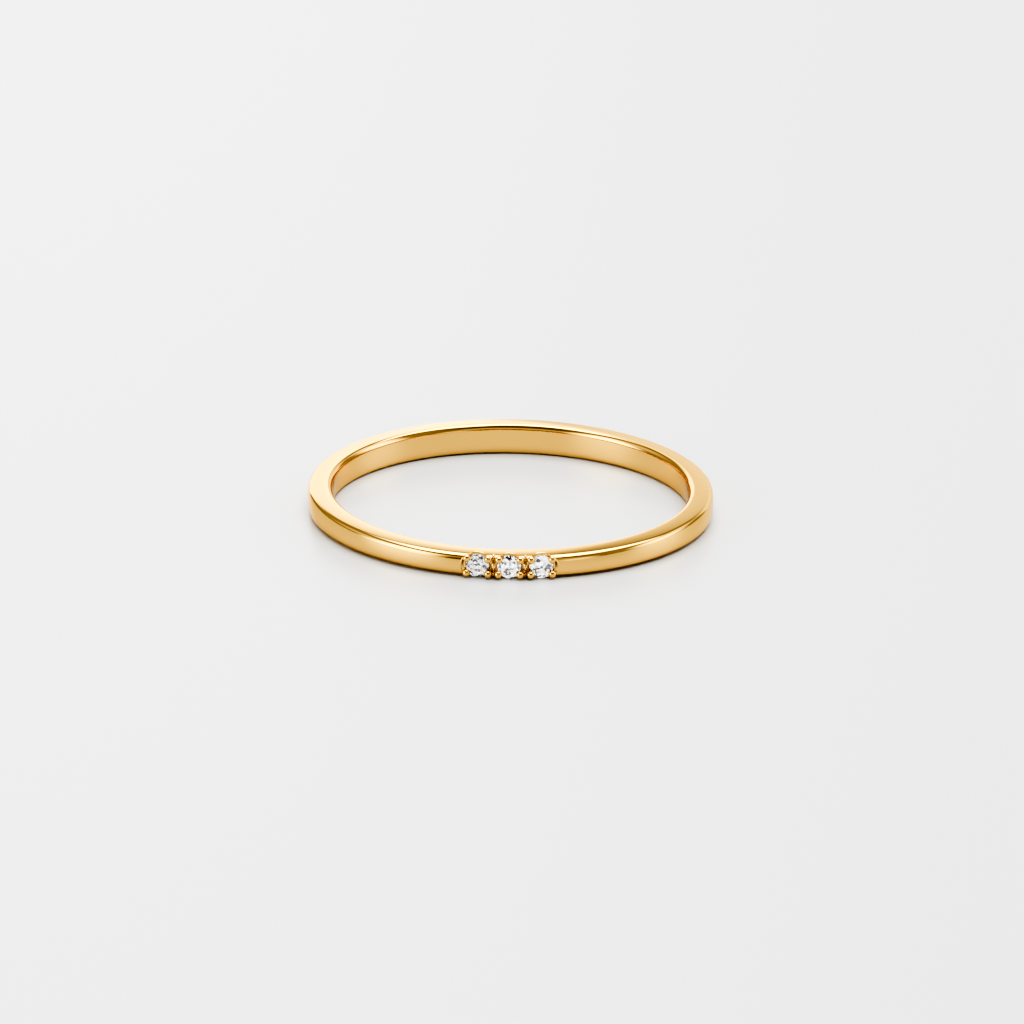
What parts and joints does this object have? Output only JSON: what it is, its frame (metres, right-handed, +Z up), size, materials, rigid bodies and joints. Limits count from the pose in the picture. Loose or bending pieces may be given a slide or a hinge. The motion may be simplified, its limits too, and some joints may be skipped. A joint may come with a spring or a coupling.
{
  "type": "stackable ring",
  "caption": "Thin gold stacking ring with a short row of small round cut stones, each held in a cup by ball-ended claws; it lies flat and stacks face to face.",
  "frame": {"origin": "centre of the finger hole, level with the flat lower side that rests on the floor", "axes": "+Z up along the ring's axis, -Y towards the stones, +X to the right as seen from the stones' side"},
  "size_m": [0.0194, 0.0195, 0.0015],
  "materials": {
    "yellow_gold": "polished",
    "clear_stone": "polished"
  },
  "bodies": {
    "root": {"band": "yellow_gold", "stone_1": "clear_stone", "stone_2": "clear_stone", "stone_3": "clear_stone"}
  },
  "joints": []
}
